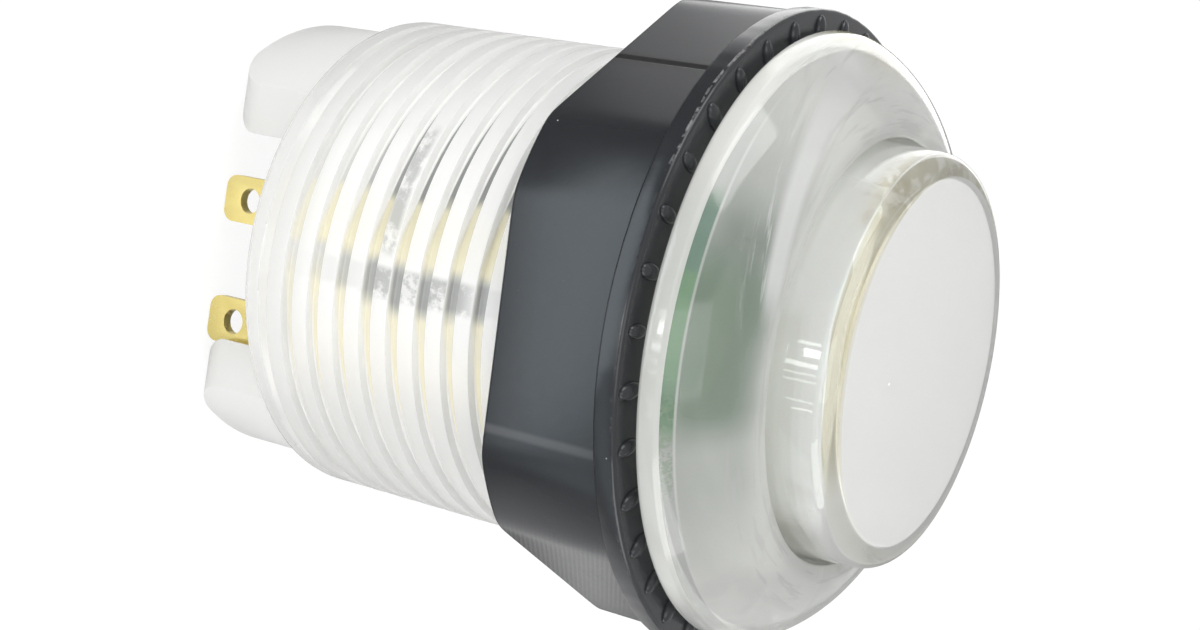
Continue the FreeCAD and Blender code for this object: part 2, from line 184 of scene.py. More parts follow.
def rounded(corners, arc_points=4, closed=True):
    """Outline of (radius, height) points whose corners (r, z, rounding) are eased by arcs."""
    count = len(corners)
    outline = []
    for index, (r, z, ease) in enumerate(corners):
        here = Vector((r, z))
        at_end = not closed and index in (0, count - 1)
        if not ease or at_end:
            outline.append((r, z))
            continue
        before = Vector(corners[index - 1][:2]) - here
        after = Vector(corners[(index + 1) % count][:2]) - here
        half = before.angle(after) / 2
        reach = min(ease / math.tan(half), 0.48 * before.length, 0.48 * after.length)
        middle = here + (before.normalized() + after.normalized()).normalized() * (reach / math.cos(half))
        start = here + before.normalized() * reach - middle
        end = here + after.normalized() * reach - middle
        sweep = start.angle_signed(end)
        for step in range(arc_points + 1):
            turn = -sweep * step / arc_points
            point = Vector((start.x * math.cos(turn) - start.y * math.sin(turn),
                            start.x * math.sin(turn) + start.y * math.cos(turn)))
            outline.append(tuple(middle + point))
    return outline


def bowed(start, middle, end, count):
    """Points along the arc through three (radius, height) points, both ends included."""
    (ax, ay), (bx, by), (cx, cy) = start, middle, end
    d = 2 * (ax * (by - cy) + bx * (cy - ay) + cx * (ay - by))
    a, b, c = ax * ax + ay * ay, bx * bx + by * by, cx * cx + cy * cy
    ux = (a * (by - cy) + b * (cy - ay) + c * (ay - by)) / d
    uy = (a * (cx - bx) + b * (ax - cx) + c * (bx - ax)) / d
    radius = math.hypot(ax - ux, ay - uy)
    first = math.atan2(ay - uy, ax - ux)
    last = math.atan2(cy - uy, cx - ux)
    return [(ux + radius * math.cos(first + (last - first) * k / count),
             uy + radius * math.sin(first + (last - first) * k / count)) for k in range(count + 1)]


DOME_ARC = bowed(RIM_TOP, DOME_MIDDLE, DOME_TOP, DOME_ROWS * 40)


def dome_place(row, turn):
    """Point on the dome's arc for one of its rows.

    The rows slide inwards at the upper left, where the rim's painted milky glow is wider.
    """
    near = held((MILKY_HALF - abs(turn - MILKY_TURN)) / MILKY_FADE)
    slide = MILKY_SLIDE * eased(near) * max(0.0, 1 - (row - 1) / DOME_ROWS / MILKY_ROWS)
    return DOME_ARC[round((row / DOME_ROWS + slide) * (len(DOME_ARC) - 1))]


def grid_faces(rows, columns, ring=False, sheet=False):
    """Four-sided faces between rows of points.

    A ring joins its last row to its first. The rows are closed loops, but open in a sheet.
    """
    faces = []
    for row in range(rows if ring else rows - 1):
        a, b = row * columns, (row + 1) % rows * columns
        for k in range(columns - 1 if sheet else columns):
            after = (k + 1) % columns
            faces.append((a + k, a + after, b + after, b + k))
    return faces


def lathed(outline, steps, closed=True):
    """Vertices and faces of an outline of (radius, height) points turned about Z."""
    points = [on_circle(r, 2 * math.pi * k / steps, z) for r, z in outline for k in range(steps)]
    return points, grid_faces(len(outline), steps, ring=closed)


def joined(*meshes):
    """One list of vertices and faces from several."""
    points, faces = [], []
    for some_points, some_faces in meshes:
        base = len(points)
        points += some_points
        faces += [tuple(base + index for index in face) for face in some_faces]
    return points, faces


def shown(name, data):
    """New object in the scene for a mesh, lamp or camera."""
    made = bpy.data.objects.new(name, data)
    bpy.context.collection.objects.link(made)
    return made


def smoothed(mesh, crease_deg):
    """Smooth shading that breaks at creases."""
    mesh.shade_smooth()
    mesh.set_sharp_from_angle(angle=math.radians(crease_deg))


def piece(name, shape, crease_deg=CREASE):
    """Object from vertices and faces in millimetres, closed, facing outwards and smooth."""
    points, faces = shape
    mesh = bpy.data.meshes.new(name)
    mesh.from_pydata([(x * MM, y * MM, z * MM) for x, y, z in points], [], faces)
    cleaned = bmesh.new()
    cleaned.from_mesh(mesh)
    bmesh.ops.remove_doubles(cleaned, verts=cleaned.verts, dist=WELD * MM)
    bmesh.ops.recalc_face_normals(cleaned, faces=cleaned.faces)
    cleaned.to_mesh(mesh)
    cleaned.free()
    smoothed(mesh, crease_deg)
    return shown(name, mesh)


def settled(made):
    """Turn an object's modifiers into a plain mesh."""
    plain = bpy.data.meshes.new_from_object(made.evaluated_get(bpy.context.evaluated_depsgraph_get()))
    made.modifiers.clear()
    made.data = plain
    return plain


def placed(made, body, slot, finish, *nodes):
    """Give a piece its material and the body that it rides on, and hide the nodes that it stands for."""
    made.data.materials.clear()
    made.data.materials.append(finish)
    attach(made, body)
    if nodes:
        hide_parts(*nodes)
    return made


def thread_sheet(crest, depth, first, last, start, steps):
    """Screw thread between two heights: one pitch's outline carried along the helix.

    Its groove fades out at both ends, and everything past them lies on the end circle.
    """
    groove = [(-0.9, 0.0), (-0.47, 0.0), (-0.405, 0.03), (-0.355, 0.15), (-0.285, 0.9), (-0.22, 1.0),
              (0.0, 1.0), (0.22, 1.0), (0.285, 0.9), (0.355, 0.15), (0.405, 0.03), (0.47, 0.0), (0.9, 0.0)]
    turns = int((first - last) / PITCH) + 3
    columns = turns * steps + 1
    points = []
    for column in range(columns):
        angle = 2 * math.pi * column / steps
        middle = start + PITCH - PITCH * column / steps
        for offset, share in groove:
            z = middle - offset
            inside = min(first - z, z - last)
            r = crest - depth * share * eased(held((inside - 0.1) / 0.9))
            points.append(on_circle(r, angle, min(first, max(last, z))))
    return points, grid_faces(columns, len(groove), sheet=True)


def housing_piece():
    """Bezel, threaded body, web ring, hub, guide tube and spokes as one clear moulding."""
    steps = 240
    dome = bowed(RIM_TOP, DOME_MIDDLE, DOME_TOP, DOME_ROWS)
    front = rounded([(CREST, THREAD_FIRST, 0), (CREST, 0, 0.12), (RIM_RADIUS, 0, 0.25),
                     (RIM_TOP[0] + 0.02, RIM_TOP[1] - 0.1, 0)], closed=False)
    inner = rounded([(DOME_TOP[0] - 0.2, DOME_TOP[1], 0), (OPENING, DOME_TOP[1], 0.18),
                     (OPENING, WEB_TOP, 0.15), (WEB_RING, WEB_TOP, 0.12), (WEB_RING, WEB_UNDER, 0.12),
                     (BODY_BORE, WEB_UNDER, 0.3), (BODY_BORE, BODY_END, 0.15), (CREST, BODY_END, 0.4),
                     (CREST, THREAD_LAST, 0)], closed=False)
    points, faces = lathed(front + dome + inner, steps, closed=False)
    for row in range(1, DOME_ROWS):
        for k in range(steps):
            r, z = dome_place(row, (360 - 360 * k / steps) % 360 - 180)
            points[(len(front) + row) * steps + k] = on_circle(r, 2 * math.pi * k / steps, z)
    thread = thread_sheet(CREST, CREST - ROOT, THREAD_FIRST, THREAD_LAST, THREAD_START, steps)
    body = piece("clear_housing", joined((points, faces), thread))
    guide = rounded([(HUB, WEB_TOP, 0.15), (HUB, WEB_UNDER, 0.15), (GUIDE_BORE, WEB_UNDER, 0.1),
                     (GUIDE_BORE, GUIDE_TUBE_TOP, 0.1), (GUIDE_TUBE, GUIDE_TUBE_TOP, 0.15),
                     (GUIDE_TUBE, WEB_TOP, 0.3)])
    hub = piece("web_hub", lathed(guide, 96))
    ends = ((SPOKE_FIRST, -1), (SPOKE_LAST, -1), (SPOKE_LAST, 1), (SPOKE_FIRST, 1))
    sides = [(0, 3, 2, 1), (4, 5, 6, 7), (0, 1, 5, 4), (1, 2, 6, 5), (2, 3, 7, 6), (3, 0, 4, 7)]
    spokes = []
    for index in range(4):
        turn = math.radians(90 * index + 45)
        along = Vector((math.cos(turn), math.sin(turn), 0))
        across = Vector((-math.sin(turn), math.cos(turn), 0)) * SPOKE_HALF_WIDTH
        corners = [tuple(along * reach + across * side + Vector((0, 0, z)))
                   for z in (WEB_UNDER + 0.001, WEB_TOP - 0.001) for reach, side in ends]
        spokes.append((corners, sides))
    arms = piece("web_spokes", joined(*spokes))
    for extra in (hub, arms):
        union = body.modifiers.new("web", "BOOLEAN")
        union.operation = "UNION"
        union.solver = "EXACT"
        union.object = extra
    smoothed(settled(body), CREASE)
    for extra in (hub, arms):
        bpy.data.objects.remove(extra)
    return body


def nut_radius(angle_deg):
    """Distance from the axis to the nut's side at an angle: six flats with rounded corners."""
    off = (angle_deg - NUT_TURN + 30) % 60 - 30
    flat = NUT_FLAT / math.cos(math.radians(off))
    sharp = NUT_CORNER_SHARPNESS
    return -math.log(math.exp(-sharp * (flat - 16)) + math.exp(-sharp * (NUT_CORNER - 16))) / sharp + 16


def nut_piece():
    """Hexagonal lock nut with a round flange, eased corners and a threaded bore."""
    steps = 360
    bore_first, bore_last = NUT_FRONT - 0.45, NUT_BACK + 0.75
    front = rounded([(NUT_BORE, bore_first, 0), (NUT_BORE, NUT_FRONT, 0.25), (NUT_FLANGE, NUT_FRONT, 0.22),
                     (NUT_FLANGE, NUT_FLANGE_BACK, 0.16), (NUT_FLANGE - 0.5, NUT_FLANGE_BACK, 0)],
                    closed=False)
    side = rounded([(0, NUT_FLANGE_BACK + 0.02, 0), (0, NUT_BACK, 0.22), (-1.6, NUT_BACK, 0)], closed=False)
    rear = rounded([(NUT_BORE + 0.9, NUT_BACK, 0), (NUT_BORE + 0.5, NUT_BACK, 0.08),
                    (NUT_BORE, NUT_BACK + 0.5, 0.08), (NUT_BORE, bore_last, 0)], closed=False)
    rows = [[place] * steps for place in front]
    rows += [[(nut_radius(360 * k / steps) + inward, z) for k in range(steps)] for inward, z in side]
    rows += [[place] * steps for place in rear]
    points = []
    for index, row in enumerate(rows):
        for k, (r, z) in enumerate(row):
            angle = 2 * math.pi * k / steps
            worn = 0.0
            if index < len(front) and r > NUT_FLANGE - 0.3:
                worn = 0.03 * math.sin(angle * 37) * math.sin(angle * 11 + 1.3) * math.sin(angle * 5)
            points.append(on_circle(r - abs(worn), angle, z))
    thread = thread_sheet(NUT_BORE, -NUT_THREAD_DEPTH, bore_first, bore_last, NUT_THREAD_START, steps)
    return piece("lock_nut_body", joined((points, grid_faces(len(rows), steps)), thread), crease_deg=28)


def cap_piece():
    """Clear shell of the plunger, with a rounded front corner and an open skirt."""
    inside = CAP_TOP - CAP_FACE
    outline = rounded([(CAP_RADIUS, CAP_SKIRT, 0.12), (CAP_RADIUS, CAP_SHOULDER, 0),
                       (CAP_FACE_RADIUS, CAP_TOP, CAP_CORNER), (AXIS, CAP_TOP, 0), (AXIS, inside, 0),
                       (CAP_BORE, inside, 0.12), (CAP_BORE, CAP_SKIRT, 0.12)], arc_points=10)
    return piece("clear_cap", lathed(outline, 192))


def disc_piece():
    """White disc under the cap's face."""
    outline = rounded([(DISC_RADIUS, DISC_TOP, 0.1), (AXIS, DISC_TOP, 0), (AXIS, DISC_UNDER, 0),
                       (DISC_RADIUS, DISC_UNDER, 0.1)])
    return piece("white_disc", lathed(outline, 160))


def coil_piece():
    """Return spring: round wire in seven and a half turns with closed, flat ends."""
    low, high = WEB_TOP + WIRE, SPRING_SEAT - WIRE
    steps, sides = 40, 12
    count = int(SPRING_TURNS * steps)
    points = []
    for index in range(count + 1):
        share = index / count
        angle = 2 * math.pi * SPRING_TURNS * share
        lap = share * SPRING_TURNS
        begun = held(lap / FLAT_LAP)
        rise = held((lap - FLAT_LAP) / (SPRING_TURNS - 2 * FLAT_LAP))
        ended = held((lap - SPRING_TURNS + FLAT_LAP) / FLAT_LAP)
        along = low + FLAT_PITCH * (begun + ended) + (high - low - 2 * FLAT_PITCH) * rise
        for side in range(sides):
            turn = 2 * math.pi * side / sides
            r = SPRING_MEAN + WIRE * math.cos(turn)
            points.append(on_circle(r, angle, along + WIRE * math.sin(turn)))
    faces = grid_faces(count + 1, sides)
    faces.append(tuple(range(sides)))
    faces.append(tuple(count * sides + side for side in range(sides)))
    return piece("return_coil", (points, faces))


def softened(node, name, width, blade_corner=0.0):
    """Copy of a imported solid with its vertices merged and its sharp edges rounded.

    A blade corner rounds the two outer corners of a terminal's drilled end as well.
    """
    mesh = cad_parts[node].data.copy()
    mesh.name = name
    form = bmesh.new()
    form.from_mesh(mesh)
    bmesh.ops.remove_doubles(form, verts=form.verts, dist=0.002 * MM)
    bmesh.ops.dissolve_limit(form, angle_limit=math.radians(0.6), verts=form.verts, edges=form.edges)

    def ease(edges, offset, segments):
        bmesh.ops.bevel(form, geom=edges, offset=offset * MM, offset_type="OFFSET", segments=segments,
                        profile=0.5, affect="EDGES", clamp_overlap=True)

    if blade_corner:
        end = min(vert.co.z for vert in form.verts)
        ease([edge for edge in form.edges if all(vert.co.z < end + 0.01 * MM for vert in edge.verts)
              and abs(edge.verts[0].co.y - edge.verts[1].co.y) < 0.01 * MM], blade_corner, 6)
    ease([edge for edge in form.edges
          if len(edge.link_faces) == 2 and edge.calc_face_angle(0) > math.radians(30)], width, 2)
    form.to_mesh(mesh)
    form.free()
    smoothed(mesh, 40)
    return shown(name, mesh)


# Nodes


def put(tree, kind, inputs=None, **settings):
    """Node with its settings, and each input given a value or joined to a socket."""
    made = tree.nodes.new(kind)
    for key, value in settings.items():
        setattr(made, key, value)
    for key, value in (inputs or {}).items():
        if isinstance(value, bpy.types.NodeSocket):
            tree.links.new(value, made.inputs[key])
        else:
            made.inputs[key].default_value = value
    return made


def add(tree, kind, inputs=None, **settings):
    """Shader node. The helpers below find their tree by the first socket that they are given."""
    return put(tree, "ShaderNode" + kind, inputs, **settings)


def join(source, target):
    source.id_data.links.new(source, target)


def calculate(operation, *values, **settings):
    """Result of one Math node."""
    return add(values[0].id_data, "Math", dict(enumerate(values)), operation=operation, **settings).outputs[0]


def product(*factors):
    """Several masks or numbers multiplied."""
    made = factors[0]
    for factor in factors[1:]:
        made = calculate("MULTIPLY", made, factor)
    return made


def larger(*values):
    """The larger of two masks or numbers."""
    return calculate("MAXIMUM", *values)


def measured(operation, vector, other=(0, 0, 0)):
    """Number that one Vector Math node finds, such as a length or a distance."""
    return add(vector.id_data, "VectorMath", {0: vector, 1: other}, operation=operation).outputs["Value"]


def combined(x, y, z=0.0):
    return add(x.id_data, "CombineXYZ", {"X": x, "Y": y, "Z": z}).outputs[0]


def separated(vector):
    """X, Y and Z of a vector."""
    return add(vector.id_data, "SeparateXYZ", {0: vector}).outputs[:]


def radius_of(x, y):
    """Distance from the button's axis."""
    return measured("LENGTH", combined(x, y))


def turn_of(x, y):
    """Angle about the axis in degrees, 0 on the -X side that the photo shows and + towards +Y."""
    return product(calculate("ARCTAN2", y, product(x, -1.0)), 180.0 / math.pi)


def noise(vector, scale, detail, roughness=0.5, distortion=0.0):
    """Cloudy pattern between 0 and 1."""
    return add(vector.id_data, "TexNoise", {"Vector": vector, "Scale": scale, "Detail": detail,
                                            "Roughness": roughness, "Distortion": distortion}).outputs["Fac"]


def ramp(value, low, high):
    """Smooth share that goes from 0 at one value to 1 at another."""
    return add(value.id_data, "MapRange", {"Value": value, "From Min": low, "From Max": high},
               interpolation_type="SMOOTHSTEP").outputs[0]


def scaled(value, from_low, from_high, to_low, to_high):
    """Number carried evenly from one range to another."""
    return add(value.id_data, "MapRange", {"Value": value, "From Min": from_low, "From Max": from_high,
                                           "To Min": to_low, "To Max": to_high}).outputs[0]


def around(value, middle, half, soft):
    """Share that is 1 within a half-width of a middle value and falls to 0 over a soft edge."""
    return ramp(calculate("ABSOLUTE", calculate("SUBTRACT", value, middle)), half + soft, half)


def blend(share, low, high):
    """Colour between two colours by a share from 0 to 1."""
    low, high = [(*colour, 1) if isinstance(colour, tuple) else colour for colour in (low, high)]
    return add(share.id_data, "Mix", {0: share, 6: low, 7: high}, data_type="RGBA").outputs[2]


def layered(base, *layers):
    """Colour with further ones laid over it, each as (one or more factors of its share, colour)."""
    for *factors, colour in layers:
        base = blend(product(*factors), base, colour)
    return base


def coloured(inputs, base, *layers):
    """Join a layered colour to a shader."""
    join(layered(base, *layers), inputs["Base Color"])


def group_tree(name, inputs, outputs):
    """Empty shader group with named inputs and outputs."""
    tree = bpy.data.node_groups.new(name, "ShaderNodeTree")
    for label, kind, value in inputs:
        socket = tree.interface.new_socket(label, in_out="INPUT", socket_type="NodeSocket" + kind)
        if value is not None:
            socket.default_value = value
    for label in outputs:
        tree.interface.new_socket(label, in_out="OUTPUT", socket_type="NodeSocketFloat")
    return tree, tree.nodes.new("NodeGroupInput").outputs, tree.nodes.new("NodeGroupOutput").inputs


def moulded_skin_group():
    """Slight unevenness of moulded plastic: roughness that varies and a faint ripple."""
    tree, given, result = group_tree(
        "moulded skin", [("Vector", "Vector", None), ("Roughness", "Float", 0.2), ("Variation", "Float", 0.1),
                         ("Grain scale", "Float", 2500.0), ("Flow scale", "Float", 220.0)],
        ["Roughness", "Height", "Cloud"])
    fine = noise(given["Vector"], given["Grain scale"], 4.0, 0.6)
    flow = noise(given["Vector"], given["Flow scale"], 3.0, 0.5, 0.6)
    centred = calculate("SUBTRACT", calculate("ADD", fine, flow), 1.0)
    spread = product(centred, given["Variation"])
    join(calculate("ADD", given["Roughness"], spread, use_clamp=True), result["Roughness"])
    join(calculate("ADD", product(fine, 0.35), flow), result["Height"])
    join(flow, result["Cloud"])
    return tree


def specks_group():
    """Sparse small specks of dust and moulding flaws, as a mask."""
    tree, given, result = group_tree(
        "specks", [("Vector", "Vector", None), ("Scale", "Float", 900.0), ("Size", "Float", 0.09),
                   ("Share", "Float", 0.25)], ["Mask"])
    cells = add(tree, "TexVoronoi", {"Vector": given["Vector"], "Scale": given["Scale"]})
    parts = add(tree, "SeparateColor", {"Color": cells.outputs["Color"]})
    join(product(calculate("LESS_THAN", cells.outputs["Distance"], given["Size"]),
                 calculate("LESS_THAN", parts.outputs[0], given["Share"])), result["Mask"])
    return tree


def drawn_metal_group():
    """Fine lines along one direction of rolled or drawn metal, with soft tarnish."""
    tree, given, result = group_tree(
        "drawn metal", [("Vector", "Vector", None), ("Line scale", "Float", 4000.0),
                        ("Tarnish scale", "Float", 500.0)], ["Lines", "Tarnish"])
    stretched = add(tree, "Mapping", {"Vector": given["Vector"], "Scale": (1.0, 1.0, 0.04)}).outputs[0]
    join(noise(stretched, given["Line scale"], 3.0), result["Lines"])
    join(noise(given["Vector"], given["Tarnish scale"], 5.0, 0.65), result["Tarnish"])
    return tree


MOULDED_SKIN = moulded_skin_group()
SPECKS = specks_group()
DRAWN_METAL = drawn_metal_group()


def use(shared, inputs):
    """One of the shared groups, placed in a material with that material's own values."""
    return add(inputs["Vector"].id_data, "Group", inputs, node_tree=shared).outputs


# Finishes


def new_finish(name):
    """Material with its Principled shader, Object coordinates and output."""
    finish = bpy.data.materials.new(name)
    finish.use_nodes = True
    tree = finish.node_tree
    tree.nodes.clear()
    output = add(tree, "OutputMaterial")
    shader = add(tree, "BsdfPrincipled")
    join(shader.outputs[0], output.inputs["Surface"])
    return finish, shader, add(tree, "TexCoord").outputs["Object"], output


def bumped(inputs, height, distance):
    """Join a height to a shader's normal through a Bump node."""
    bump = add(height.id_data, "Bump", {"Height": height, "Distance": distance, "Strength": 1.0})
    join(bump.outputs[0], inputs["Normal"])


def moulded(name, roughness, variation, grain=2500.0, flow=220.0, ripple=0.00001, clearness=0.0,
            ior=ACRYLIC_IOR, lets_through=None):
    """Moulded plastic with an uneven gloss and a faint ripple.

    Shadow rays pass it in the colour that it lets through, so that what is inside it is lit.
    """
    finish, shader, coords, output = new_finish(name)
    inputs = shader.inputs
    skin = use(MOULDED_SKIN, {"Vector": coords, "Roughness": roughness, "Variation": variation,
                              "Grain scale": grain, "Flow scale": flow})
    join(skin["Roughness"], inputs["Roughness"])
    if ripple:
        bumped(inputs, skin["Height"], ripple)
    if clearness:
        inputs["Transmission Weight"].default_value = clearness
        inputs["IOR"].default_value = ior
    if lets_through:
        tree = finish.node_tree
        path = add(tree, "LightPath")
        through = add(tree, "BsdfTransparent", {"Color": (*lets_through, 1)})
        either = add(tree, "MixShader", {0: path.outputs["Is Shadow Ray"], 1: shader.outputs[0],
                                         2: through.outputs[0]})
        join(either.outputs[0], output.inputs["Surface"])
    return finish, inputs, coords, skin


def clear_plastic(name, roughness, variation, ripple, clearness):
    """Clear moulded plastic with a faint flow ripple, a little haze and a few specks."""
    finish, inputs, coords, skin = moulded(name, roughness, variation, 1800.0, 160.0, ripple, clearness,
                                           lets_through=(0.93, 0.94, 0.93))
    specks = use(SPECKS, {"Vector": coords, "Scale": 500.0, "Size": 0.05, "Share": 0.04})
    join(larger(skin["Roughness"], specks["Mask"]), inputs["Roughness"])
    return finish, inputs, coords


def clear_body_finish():
    """Clear body, with the green board behind its left half painted into its bezel, and painted highlights
    and shade on its dome.
    """
    finish, inputs, coords = clear_plastic("clear moulded body", 0.09, 0.06, 0.00001, 0.60)
    x, y, z = separated(coords)
    reach, turn = radius_of(x, y), turn_of(x, y)
    front = ramp(z, 0.0009, 0.0011)

    # Painted image of the board's green and grey seen through the middle of the dome, and painted grey shade
    # around it
    waves = noise(coords, 260.0, 2.0, distortion=0.8)
    wavy = calculate("MULTIPLY_ADD", waves, 0.0009, reach)
    core = product(front, around(wavy, 0.0151, 0.0005, 0.0026), around(turn, 0.5, 10.5, 10.0))
    veil = product(front, around(wavy, 0.0151, 0.0004, 0.0020), around(turn, 16.0, 5.0, 12.0))
    painted_grey_dome = product(front, around(turn, 2.0, 26.0, 34.0), around(reach, 0.0146, 0.0010, 0.0022), 1.1)

    # Painted strip of the board seen at the foot of the dome, glittering at its lower end and grey further
    # down, and a painted highlight line beside it
    foot = product(front, around(reach, 0.01607, 0.00015, 0.00005))
    strip = product(foot, around(turn, 5.5, 17.5, 6.0))
    teal = product(strip, ramp(turn, 12.0, 14.0))
    deep = product(strip, around(turn, -10.0, 2.0, 4.0))
    faint = product(foot, around(turn, -46.0, 14.0, 14.0))
    rough_end = noise(coords, 2600.0, 3.0, distortion=1.5)
    glittering_board_end = product(foot, around(turn, -17.0, 5.0, 9.0), ramp(rough_end, 0.42, 0.6))
    line = product(front, around(reach, 0.01586, 0.00001, 0.00005), around(turn, 5.0, 30.0, 35.0), 0.5)

    # Painted highlights and shade in slanting streaks at the upper left, and a painted gleam
    across = calculate("ADD", turn, calculate("MULTIPLY_ADD", reach, -27200.0, 331.0))
    flow = combined(product(across, 0.055), product(turn, 0.02), product(reach, 60.0))
    streaks = noise(flow, 2.2, 4.0, 0.6, 0.5)
    spread = product(front, around(across, -6.0, 16.0, 36.0), around(turn, 48.0, 34.0, 14.0))
    bright = product(spread, ramp(streaks, 0.50, 0.66))
    painted_dull_streaks = product(spread, ramp(streaks, 0.48, 0.34))
    painted_gleam = product(front, around(across, 0.0, 7.0, 15.0), around(turn, 42.0, 24.0, 14.0))
    painted_gleam = larger(product(bright, 0.7), painted_gleam)

    # Painted shade in rings at the opening and in clouds at the lower end, and a painted olive tint at the
    # upper right
    rings = noise(combined(product(reach, 2600.0), product(turn, 0.05)), 1.0, 3.0)
    ringed = product(front, around(reach, 0.0128, 0.0007, 0.0010), ramp(rings, 0.52, 0.62))
    clouds = product(front, ramp(waves, 0.50, 0.62), ramp(turn, -18.0, -34.0))
    painted_olive = product(front, around(turn, 93.0, 3.0, 16.0), ramp(reach, 0.0136, 0.0160))

    coloured(inputs, (0.975, 0.978, 0.95),
        (painted_grey_dome, 0.75, (0.50, 0.53, 0.50)),
        (clouds, 0.5, (0.86, 0.865, 0.84)),
        (ringed, 0.35, (0.66, 0.67, 0.66)),
        (painted_dull_streaks, 0.45, (0.66, 0.68, 0.66)),
        (veil, 0.9, (0.26, 0.31, 0.27)),
        (core, 0.92, (0.22, 0.30, 0.225)),
        (strip, 0.9, (0.255, 0.44, 0.265)),
        (deep, 0.7, (0.15, 0.28, 0.19)),
        (faint, 0.7, (0.55, 0.56, 0.55)),
        (teal, 0.95, (0.22, 0.34, 0.28)),
        (glittering_board_end, 0.6, (0.34, 0.46, 0.32)),
        (painted_gleam, 0.92, (1.0, 1.0, 1.0)),
        (line, (0.98, 0.98, 0.97)),
        (painted_olive, 0.6, (0.66, 0.61, 0.36)))
    return finish


def milky_rim_finish():
    """Outer edge of the bezel, painted milky where light gathers in it, and painted lighter at the upper
    left, darker on the far side and below, and olive at the top.
    """
    finish, inputs, coords, skin = moulded("painted milky bezel rim", 0.1, 0.06, 1800.0, 160.0, clearness=0.3,
                                           lets_through=(0.85, 0.85, 0.83))
    turn = turn_of(*separated(coords)[:2])
    coloured(inputs, blend(skin["Cloud"], (0.60, 0.61, 0.585), (0.66, 0.67, 0.64)),
        (around(turn, 55.0, 18.0, 18.0), (0.74, 0.745, 0.72)),
        (around(turn, 180.0, 70.0, 12.0), (0.36, 0.365, 0.355)),
        (around(turn, 96.0, 8.0, 18.0), (0.50, 0.47, 0.29)),
        (around(turn, -90.0, 30.0, 14.0), (0.46, 0.465, 0.45)))
    return finish


def groove_finish():
    """Root of the thread, in painted grey shade, with the brass strips behind it painted in as cream."""
    finish, inputs, coords, skin = moulded("thread groove", 0.2, 0.15, 2600.0, 200.0, clearness=0.28,
                                           lets_through=(0.85, 0.85, 0.83))
    x, y, z = separated(coords)
    true_turn = turn_of(x, y)
    turn = calculate("ADD", true_turn, calculate("MULTIPLY_ADD", skin["Cloud"], 10.0, -5.0))

    # Share of the groove's width that shows its root, wider towards the photo's near side
    lap = calculate("MULTIPLY_ADD", true_turn, -1.0 / 360.0, 0.5 - THREAD_START / PITCH)
    lap = calculate("MULTIPLY_ADD", z, 1.0 / (PITCH * MM), lap)
    off = calculate("ABSOLUTE", calculate("WRAP", lap, -0.5, 0.5))
    side = calculate("ABSOLUTE", calculate("SUBTRACT", turn, 1.0))
    width = scaled(side, 5.0, 38.0, 0.17, 0.0)
    root = ramp(calculate("SUBTRACT", off, width), 0.05, 0.0)

    behind = product(ramp(z, -0.0080, -0.0090), root)
    fading = ramp(z, -0.0245, -0.0170)
    rear = ramp(z, -0.0262, -0.0222)
    painted_cream = larger(around(turn, 10.5, 6.5, 3.0), around(turn, -20.0, 12.0, 10.0))
    shaded = larger(ramp(turn, -12.0, -34.0), ramp(z, -0.0205, -0.0245))
    # Painted shade: greyer towards the lower side and the rear and dark near turn 26; the brass strips behind
    # are painted in as cream, and a darker grey line runs along turn -1
    coloured(inputs, (0.93, 0.93, 0.92),
        (shaded, (0.82, 0.82, 0.81)),
        (around(turn, 26.0, 9.0, 16.0), behind, fading, 0.95, (0.24, 0.25, 0.25)),
        (painted_cream, behind, rear, 0.75, (0.97, 0.92, 0.68)),
        (around(turn, -1.0, 2.0, 4.0), behind, fading, (0.42, 0.43, 0.43)))
    return finish


def frosted_crest_finish():
    """Outer faces of the thread, frosted white, with a painted highlight along the -X middle, painted shade
    towards the lower side and the rear, and darker grey patches.
    """
    finish, inputs, coords, skin = moulded("frosted thread crest", 0.42, 0.2, 3000.0, 120.0,
                                           clearness=0.22, lets_through=(0.8, 0.8, 0.79))
    x, y, z = separated(coords)
    turn = turn_of(x, y)
    # Darker grey patches and streaks near turn 0 and turn 20, and a faint grey trail towards the rear
    patchy = ramp(noise(coords, 900.0, 5.0, 0.7), 0.36, 0.56)
    grey_patch = product(patchy, around(turn, -1.0, 2.4, 1.8), around(z, -0.0150, 0.0026, 0.0016))
    trail = product(around(turn, -0.5, 2.2, 1.5), ramp(z, -0.0240, -0.0200), 0.16)
    streak = product(patchy, around(turn, 20.0, 12.0, 5.0), around(z, -0.0173, 0.0002, 0.0005))
    grey_marks = larger(product(grey_patch, 0.7), product(streak, 0.6))
    grey_marks = larger(grey_marks, trail)
    # Painted shade darkens the lower side and the rear, and a painted highlight brightens the band about turn
    # 6
    lower = product(ramp(turn, -16.0, -44.0), 0.9)
    rear = product(ramp(z, -0.0215, -0.0250), 0.6)
    pale = blend(skin["Cloud"], (0.95, 0.95, 0.945), (1.0, 1.0, 0.995))
    coloured(inputs, (0.78, 0.78, 0.775),
        (around(turn, 6.0, 16.0, 34.0), pale),
        (larger(lower, rear), (0.74, 0.74, 0.725)),
        (grey_marks, (0.30, 0.31, 0.31)))
    return finish


